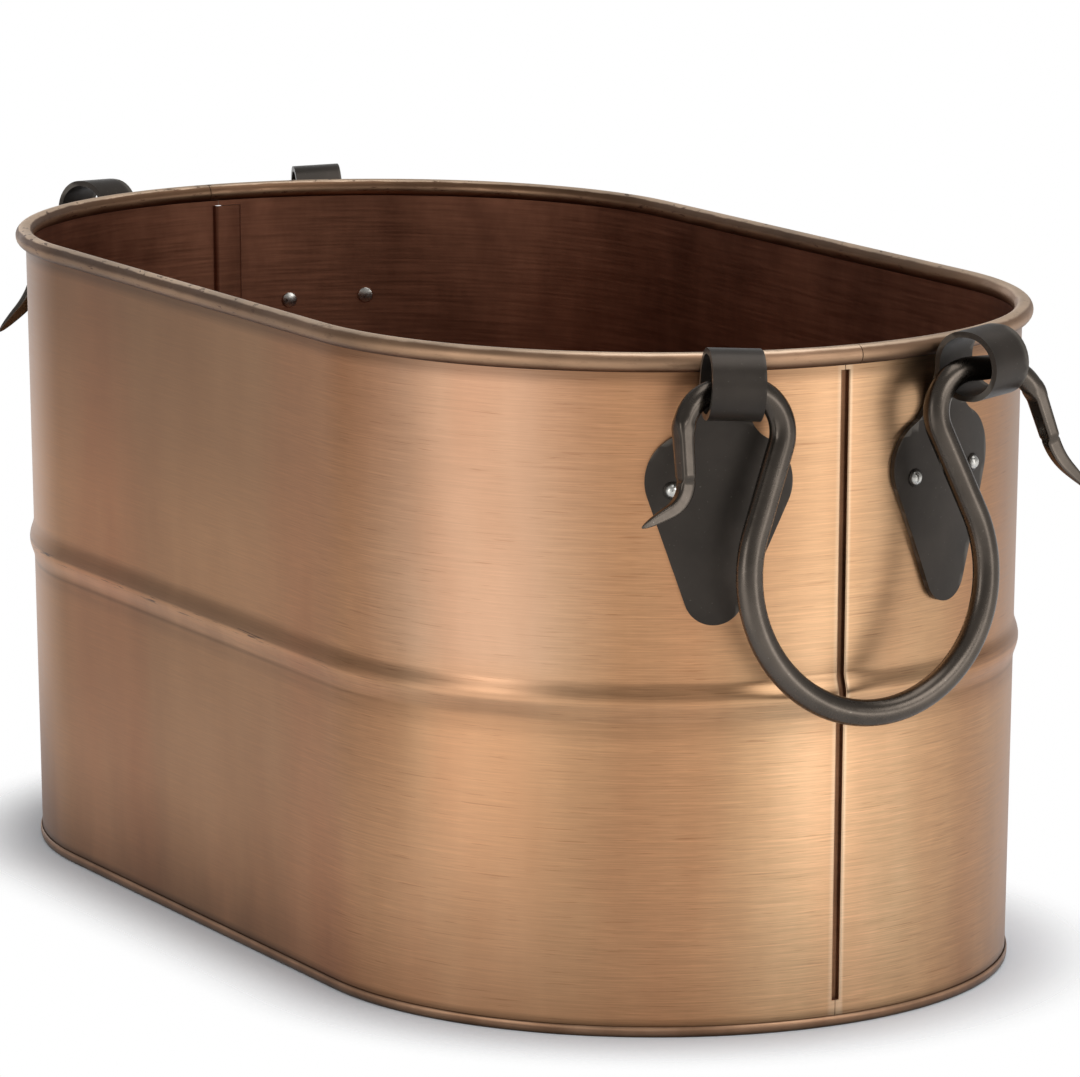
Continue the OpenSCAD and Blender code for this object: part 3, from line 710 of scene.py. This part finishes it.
def black_iron(name, base, worn, rough, wear, marks, metal):
    """Iron under a satin bronze-black finish, rubbed through to a duller grey on its edges."""
    made, tree = new_finish(name)
    tone = grain(tree, (22, 22, 22), 4, 0.6)
    fine = grain(tree, (420, 420, 420), 3, 0.6, offset=(4, 1, 2))
    dark = tuple(0.7 * c for c in base)
    light = tuple(1.35 * c for c in base)
    colour = ramp(tree, tone, [(0.3, dark), (0.52, base), (0.75, light)])
    edge = add_node(tree, "ShaderNodeNewGeometry").outputs["Pointiness"]
    rubbed = ramp(tree, plus(tree, edge, swing(tree, fine, 0.03)), [(0.58, 0.0), (0.7, wear)])
    colour = covered(tree, rubbed, colour, worn)
    specks = ramp(tree, grain(tree, (900, 900, 900), 1, 0.5), [(0.74, 0.0), (0.79, 0.25)])
    colour = covered(tree, specks, colour, worn)
    worked = plus(tree, times(tree, fine, 0.4), times(tree, tone, 0.6))
    dents = grain(tree, marks, 3, 0.5, offset=(2, 5, 3))
    surface(
        tree, Base_Color=colour, Metallic=metal, Specular_IOR_Level=0.35,
        Roughness=ramp(tree, worked, [(0.3, rough - 0.06), (0.7, rough + 0.08)]),
        Normal=bumped(tree, dents, 0.4, 0.0005, Normal=bumped(tree, fine, 0.12, 0.0001)),
    )
    return made


strap_iron = black_iron(
    "strap_iron", (0.055, 0.045, 0.037), (0.3, 0.27, 0.23), 0.36, 0.35, (30, 30, 30), 0.6
)
for name, side, turned in ears:
    strap = place_mesh(ear_strap(side), f"ear_strap_{name}", turned)
    thicken(strap, ear_t, ear_edge, segments=3, next_slot=0)
    clad(strap, "bucket", "iron", [f"ear_{name}"], strap_iron)


# Two rivets hold each leaf. Their heads are domed in a snap outside, which leaves a sunk ring
# round the dome, and hammered flat inside. The finish is rubbed off the tops of the domes.
rivet_z, rivet_pitch = 224.0, 37.0
rivet_play = 0.1
rivet_steps = 28
rub_foot, rub_rise = 0.5, 1.2


def rivet(side, place):
    """A rivet on one side of an ear: its outline spun about the axis out of the wall."""
    across, z = leaned(place * rivet_pitch / 2, rivet_z, side)
    seat, back = ear_gap + ear_t, -sheet_t - rivet_play
    dome = [
        (0, 2.5), (0.9, 2.42), (1.7, 2.1), (2.4, 1.5), (2.75, 0.85), (2.95, 0.55), (3.3, 0.5),
        (3.65, 0.42), (3.75, 0.1),
    ]
    shank = [(3.6, seat), (2.25, seat), (2.25, back)]
    flat = [(3.2, back), (3.5, back - 0.3), (3.5, back - 0.9), (3.1, back - 1.2), (0, back - 1.2)]
    half = [(r, seat + up) for r, up in dome] + shank + flat
    bm = bmesh.new()
    verts = [bm.verts.new((out, r, 0)) for r, out in half]
    outline = verts + [bm.edges.new(pair) for pair in zip(verts, verts[1:])]
    bmesh.ops.spin(
        bm, geom=outline, cent=(0, 0, 0), axis=(1, 0, 0), angle=math.tau, steps=rivet_steps,
        use_merge=True,
    )
    bmesh.ops.remove_doubles(bm, verts=bm.verts, dist=0.001)
    bmesh.ops.recalc_face_normals(bm, faces=bm.faces)
    rubbed = bm.verts.layers.float.new("rubbed")
    for v in bm.verts:
        on_dome = max(0.0, min(1.0, (v.co.x - seat - rub_foot) / rub_rise))
        v[rubbed] = on_dome if v.co.x > 0 else 0.5
    bmesh.ops.translate(bm, vec=(wall_r(z), 0, z), verts=bm.verts)
    turn = Matrix.Rotation(math.radians(side * ear_angle) + across / end_r, 3, "Z")
    bmesh.ops.rotate(bm, cent=(0, 0, 0), matrix=turn, verts=bm.verts)
    bmesh.ops.translate(bm, vec=(end_x, 0, 0), verts=bm.verts)
    return bm


rivet_steel, tree = new_finish("rivet_steel")
rub = grain(tree, (700, 700, 700), 3, 0.6)
patch = grain(tree, (180, 180, 180), 2, 0.5, offset=(3, 3, 3))
bare = ramp(tree, patch, [(0.3, (0.5, 0.48, 0.44)), (0.6, (0.8, 0.78, 0.73))])
top = add_node(tree, "ShaderNodeAttribute", {"attribute_name": "rubbed"}).outputs["Fac"]
bared = ramp(tree, top, [(0.1, 0.0), (0.6, 1.0)])
surface(
    tree, Base_Color=covered(tree, bared, (0.045, 0.038, 0.032), bare), Metallic=1.0,
    Roughness=ramp(tree, rub, [(0.3, 0.22), (0.7, 0.38)]), Normal=bumped(tree, rub, 0.35, 0.0001),
)
for ear, side, turned in ears:
    for name, place in (("inner", -side), ("outer", side)):
        head = place_mesh(rivet(side, place), f"rivet_head_{ear}_{name}", turned)
        clad(head, "bucket", "rivet_steel", [f"rivet_{ear}_{name}"], rivet_steel)


# Each handle is forged from one round bar: bent to a ring, carried over through both eyes,
# and its ends hammered thin, cut in with a chisel and flicked outwards to a leaf-shaped point.
bar_r, eye_bar_r = 5.4, 5.0
ring_r, ring_y = 55.0, -78.0
hinge_x, hinge_y, hinge_z = 294.014, 57.406, 267.7
hang = math.radians(7.3)
cross_run, arch_run = 36.0, 4.5
tail_run, tail_bend, tail_down = 7.0, 26.0, 17.0
flick_bend, flick_len = 15.0, 14.0
arch_y = hinge_y - arch_run
arch_r = (arch_y ** 2 + ring_y ** 2 - ring_r ** 2 - cross_run ** 2) / 2 / (ring_r - ring_y)
to_arch = math.hypot(arch_y, ring_y + arch_r)
cross = math.atan2(-arch_r - ring_y, arch_y) - math.acos((ring_r + arch_r) / to_arch)
over = math.pi / 2 + cross
arch_len = arch_r * over
eye_at = (ring_r + arch_r) * over + cross_run + arch_run
square_at, square_run = eye_at + 27, 6
nick_at = eye_at + tail_run + tail_bend + tail_down
nick_run = 0.6
tip_at = nick_at + flick_bend + flick_len
tail_thinned, tail_flattened, nick_deep = 0.3, 0.36, 0.1
bar_sides = 32
round_power, square_power = 2, 9
point_half, point_t = 3.1, 2.7
tails = ((90, 68), (73, 29))  # degrees that each tail turns down, and that its tip flicks out


def bar_sections(down, flick):
    """Matrices that carry the bar's section from the ring's bottom to a tip, and the way gone."""
    # Each run is the side it bends to, its radius, its angle or its length, and its steps.
    runs = [
        (1, ring_r, over, 46), (0, 0, cross_run, 8), (-1, arch_r, over, 20),
        (0, 0, arch_run + tail_run, 5), (-1, tail_bend / down, down, 20), (0, 0, tail_down, 14),
        (1, flick_bend / flick, flick, 22), (0, 0, flick_len, 14),
    ]
    place, gone = Matrix.Translation((0, ring_y - ring_r, 0)), 0.0
    made = [(place, gone)]
    for side, radius, amount, steps in runs:
        pivot = Matrix.Translation((0, side * radius, 0))
        step = Matrix.Translation((amount / steps, 0, 0))
        if side:
            step = pivot @ Matrix.Rotation(side * amount / steps, 4, "Z") @ pivot.inverted()
        for _ in range(steps):
            place = place @ step
            gone += (radius if side else 1) * amount / steps
            made.append((place, gone))
    return made


def bar_size(gone):
    """Half the bar's thickness across and out of its bends, and how square it is, at a place."""
    def share(start, length):
        """How much of a stretch lies behind this place."""
        return min(1.0, max(0.0, (gone - start) / length))

    drawn = share(eye_at - arch_run - arch_len, arch_len)
    squared = share(square_at, square_run)
    tail = share(eye_at, tip_at - eye_at)
    stock = (bar_r + (eye_bar_r - bar_r) * drawn) * (1 - tail_thinned * tail)
    across, out = stock * (1 - tail_flattened * squared), stock

    # Past the nick the section goes over into the leaf-shaped point.
    past, cut = share(nick_at, tip_at - nick_at), share(nick_at - nick_run, 3 * nick_run)
    across += cut * (point_half * math.sqrt(max(0.012, 1 - past ** 1.7)) - across)
    out += cut * (point_t * (1 - 0.5 * past) * math.sqrt(max(0.03, 1 - past ** 3)) - out)
    nick = 1 - nick_deep * math.exp(-((gone - nick_at) / nick_run) ** 2)
    return across * nick, out * nick, round_power + (square_power - round_power) * squared


def half_bar(bm, down, flick):
    """Draws half of the bar from the ring's bottom out to one tip."""
    circle = bmesh.ops.create_circle(bm, segments=bar_sides, radius=1.0)["verts"]
    quarter = Matrix.Rotation(math.pi / 2, 3, "Y")
    bmesh.ops.rotate(bm, cent=(0, 0, 0), matrix=quarter, verts=circle)
    row = list(dict.fromkeys(e for v in circle for e in v.link_edges))
    verts, last = circle, Matrix.Identity(4)
    last_across = last_out = 1.0
    for place, gone in bar_sections(down, flick):
        if gone:
            new = bmesh.ops.extrude_edge_only(bm, edges=row)["geom"]
            row = [g for g in new if isinstance(g, bmesh.types.BMEdge)]
            verts = [g for g in new if isinstance(g, bmesh.types.BMVert)]
            bmesh.ops.transform(bm, matrix=last.inverted(), verts=verts)
        across, out, power = bar_size(gone)
        for v in verts:
            turn = math.atan2(v.co.z / last_out, v.co.y / last_across)
            c, s = math.cos(turn), math.sin(turn)
            size = (abs(c) ** power + abs(s) ** power) ** (-1 / power)
            v.co = (0, across * size * c, out * size * s)
        last_across, last_out = across, out
        bmesh.ops.transform(bm, matrix=place, verts=verts)
        last = place
    bmesh.ops.edgeloop_fill(bm, edges=row)


def ring_handle():
    """A whole handle, drawn flat as two halves, then hung from its hinge line."""
    bm = bmesh.new()
    for half, (down, flick) in enumerate(tails):
        if half:
            bmesh.ops.scale(bm, vec=(-1, 1, 1), verts=bm.verts)
        half_bar(bm, math.radians(down), math.radians(flick))
    bmesh.ops.remove_doubles(bm, verts=bm.verts, dist=0.01)
    bmesh.ops.recalc_face_normals(bm, faces=bm.faces)
    upright = Matrix(((0, 0, 1, 0), (1, 0, 0, 0), (0, 1, 0, 0), (0, 0, 0, 1)))
    hung = Matrix.Translation((hinge_x, 0, hinge_z)) @ Matrix.Rotation(-hang, 4, "Y") @ upright
    bmesh.ops.transform(bm, matrix=hung, verts=bm.verts)
    return bm


bar_iron = black_iron(
    "bar_iron", (0.12, 0.1, 0.083), (0.42, 0.39, 0.33), 0.26, 0.6, (45, 45, 45), 1.0
)
for name, turned in (("near", 0), ("far", 180)):
    handle = place_mesh(ring_handle(), f"ring_handle_{name}", turned)
    clad(handle, f"{name}_ring", "forged_iron", [f"handle_{name}"], bar_iron)


# The bucket stands on a plain white sweep. To the camera the sweep shows the soft shadow
# close round the wall and then fades into the white of the studio. Other rays see more of it.
floor_r = 3000
floor_mesh = bmesh.new()
bmesh.ops.create_circle(floor_mesh, cap_ends=True, segments=96, radius=floor_r)
floor = place_mesh(floor_mesh, "floor")
white, tree = new_finish("white_sweep")
x, y, _ = object_place(tree)
past_middle = maths(tree, "SUBTRACT", maths(tree, "ABSOLUTE", x), end_x / 1000)
past_middle = maths(tree, "MAXIMUM", past_middle, 0.0)
flat = add_node(tree, "ShaderNodeCombineXYZ", X=past_middle, Y=y).outputs[0]
off = add_node(tree, "ShaderNodeVectorMath", {"operation": "LENGTH"}, i0=flat).outputs["Value"]
near_fade, far_fade = (
    add_node(
        tree, "ShaderNodeMapRange", {"interpolation_type": "SMOOTHSTEP"},
        Value=off, From_Min=start, From_Max=end,
    ).outputs[0]
    for start, end in ((0.148, 0.205), (0.3, 0.55))
)
rays = add_node(tree, "ShaderNodeLightPath").outputs
fade = maths(tree, "MAXIMUM", times(tree, near_fade, rays["Is Camera Ray"]), far_fade)
matt = add_node(tree, "ShaderNodeBsdfDiffuse", Color=(0.88, 0.92, 0.97, 1)).outputs[0]
clear = add_node(tree, "ShaderNodeBsdfTransparent").outputs[0]
both = add_node(tree, "ShaderNodeMixShader", i0=fade, i1=matt, i2=clear)
add_node(tree, "ShaderNodeOutputMaterial", Surface=both.outputs[0])
floor.data.materials.append(white)


# The studio is white to the camera and half as bright to matt surfaces. What the copper
# mirrors is dim overhead, brightest in a narrow window beyond the near end, and pale again
# behind the far end and faintly in front of the long side.
window_way, behind_way, front_way = (0.906, 0.423, 0), (-0.996, 0.087, 0), (0.14, -0.99, 0)


def facing(tree, ray, way):
    """How squarely a ray goes one way, from -1 to 1."""
    made = add_node(tree, "ShaderNodeVectorMath", {"operation": "DOT_PRODUCT"}, i0=ray, i1=way)
    return made.outputs["Value"]


world = bpy.data.worlds.new("studio")
bpy.context.scene.world = world
world.use_nodes = True
tree = world.node_tree
tree.nodes.clear()
rays = add_node(tree, "ShaderNodeLightPath").outputs
toward = add_node(tree, "ShaderNodeTexCoord").outputs["Generated"]
height = add_node(tree, "ShaderNodeSeparateXYZ", Vector=toward).outputs["Z"]
height = plus(tree, times(tree, height, 0.5), 0.5)
fall = ramp(tree, height, [(0.46, 1.0), (0.5, 0.75), (0.56, 0.5), (0.72, 0.42), (0.95, 0.35)])
bright = plus(tree, times(tree, facing(tree, toward, window_way), 0.5), 0.5)
around = ramp(tree, bright, [
    (0.0, 0.2), (0.05, 0.24), (0.215, 0.33), (0.5, 0.36), (0.71, 0.37), (0.92, 0.44),
    (0.965, 0.5), (0.985, 0.6), (0.992, 1.0),
])
around = plus(tree, around, ramp(tree, bright, [(0.992, 0.0), (0.996, 0.8)]))
around = plus(tree, around, ramp(tree, facing(tree, toward, front_way), [(0.84, 0.0), (0.97, 0.3)]))
mirrored = times(tree, times(tree, around, fall), 2.1)
behind = ramp(tree, facing(tree, toward, behind_way), [(0.82, 0.0), (0.92, 0.62), (0.98, 1.0)])
mirrored = maths(tree, "MAXIMUM", mirrored, behind)
level = add_node(tree, "ShaderNodeMix", i0=rays["Is Glossy Ray"], i2=0.5, i3=mirrored).outputs[0]
seen = maths(tree, "MAXIMUM", rays["Is Camera Ray"], rays["Is Transmission Ray"])
level = maths(tree, "MAXIMUM", level, seen)
backdrop = add_node(tree, "ShaderNodeBackground", Color=(1, 1, 1, 1), Strength=level)
add_node(tree, "ShaderNodeOutputWorld", Surface=backdrop.outputs[0])


# Three softboxes light the bucket: a wide one overhead, one high beyond the near end, and a
# smaller, weaker one lower down in front of the long side.
def softbox(name, at, aim, width, height, power):
    """A softbox at a place, turned towards another."""
    lamp = bpy.data.lights.new(name, "AREA")
    lamp.shape = "RECTANGLE"
    lamp.size, lamp.size_y = width, height
    lamp.energy = power
    holder = bpy.data.objects.new(name, lamp)
    holder.location = at
    holder.rotation_euler = (Vector(aim) - Vector(at)).to_track_quat("-Z", "Y").to_euler()
    bpy.context.scene.collection.objects.link(holder)


softbox("overhead", (0.2, 0.5, 2.3), (0, 0, 0.1), 2.0, 1.6, 15)
softbox("right", (2.3, 0.65, 1.3), (0.3, 0.1, 0.1), 1.2, 1.0, 10)
softbox("left", (0.6, -2.5, 0.75), (0.2, 0, 0.15), 0.8, 0.9, 5)


# The camera stands well off the near end, to the front, and looks a little down on the
# bucket through a long lens.
camera = bpy.data.objects.new("camera", bpy.data.cameras.new("camera"))
bpy.context.scene.collection.objects.link(camera)
camera.data.sensor_width = 36
camera.data.lens = 216.22
camera.data.clip_end = 50
camera.location = (2.46029, -1.33211, 0.67365)
camera.rotation_euler = (math.radians(90 - 10.49), 0, math.radians(61.25))
bpy.context.scene.camera = camera
bpy.context.scene.view_settings.view_transform = "Standard"
